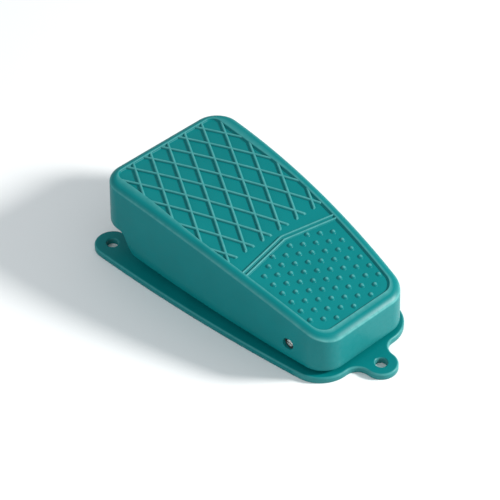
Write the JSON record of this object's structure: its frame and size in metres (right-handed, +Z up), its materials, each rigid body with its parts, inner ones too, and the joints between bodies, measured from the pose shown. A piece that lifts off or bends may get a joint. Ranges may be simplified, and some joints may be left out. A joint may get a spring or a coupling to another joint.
{
  "type": "foot switch",
  "caption": "Cast foot switch: a wedge-shaped treadle with a ribbed and domed tread, hinged near its heel over a flanged base with ears and a micro switch inside.",
  "frame": {"origin": "middle of the switch's length and width, on the underside of the base", "axes": "+Y from the heel end to the toe end, +Z up from the floor, +X to the right of a person who stands behind the heel end"},
  "size_m": [0.1058, 0.1916, 0.0516],
  "materials": {
    "paint": "teal satin enamel on cast aluminium",
    "steel": "bright steel",
    "zinc": "zinc plated steel",
    "brass": "plain brass",
    "phenolic": "moulded phenolic",
    "nylon": "moulded nylon",
    "bush": "black nylon",
    "rubber": "moulded rubber"
  },
  "bodies": {
    "base": {"base_casting": "paint", "hinge_pin": "steel", "pin_clips": "steel", "return_spring": "steel", "switch_bracket": "zinc", "bracket_screws": "zinc", "switch_case": "phenolic", "switch_cover": "phenolic", "lever_pin": "steel", "common_terminal": "brass", "closed_terminal": "brass", "open_terminal": "brass", "terminal_screws": "brass", "switch_screws": "zinc", "switch_nuts": "zinc", "gland_body": "zinc", "gland_seal": "rubber", "gland_cap": "zinc", "gland_locknut": "zinc", "earth_screw": "brass", "earth_washer": "zinc"},
    "pedal": {"pedal_casting": "paint", "hinge_bushes": "bush", "adjusting_screw": "zinc", "adjusting_nut": "zinc"},
    "lever": {"switch_lever": "steel"},
    "plunger": {"switch_plunger": "nylon"},
    "blade": {"contact_blade": "brass"}
  },
  "joints": [
    {"name": "pedal_hinge", "type": "hinge", "parent": "base", "child": "pedal", "pos_m": [0, -0.05085, 0.0165], "axis": [-1, 0, 0], "range_deg": [0, 2.8], "stiffness_Nm_per_rad": 18, "springref_deg": -3.44, "deforming": ["return_spring"]},
    {"name": "lever_hinge", "type": "hinge", "parent": "base", "child": "lever", "pos_m": [0, -0.02685, 0.03079], "axis": [-1, 0, 0], "range_deg": [0, 4.78]},
    {"name": "plunger_slide", "type": "slide", "parent": "base", "child": "plunger", "axis": [0, 0, -1], "range_m": [0, 0.00117]},
    {"name": "blade_hinge", "type": "hinge", "parent": "base", "child": "blade", "pos_m": [0, -0.02585, 0.0205], "axis": [-1, 0, 0], "range_deg": [0, 1.78]}
  ],
  "couplings": [
    {"joint": "lever_hinge", "follows": "pedal_hinge", "ratio": 1.7059},
    {"joint": "plunger_slide", "follows": "pedal_hinge", "m_per_rad": 0.023882},
    {"joint": "blade_hinge", "follows": "pedal_hinge", "ratio": 0.63267}
  ]
}
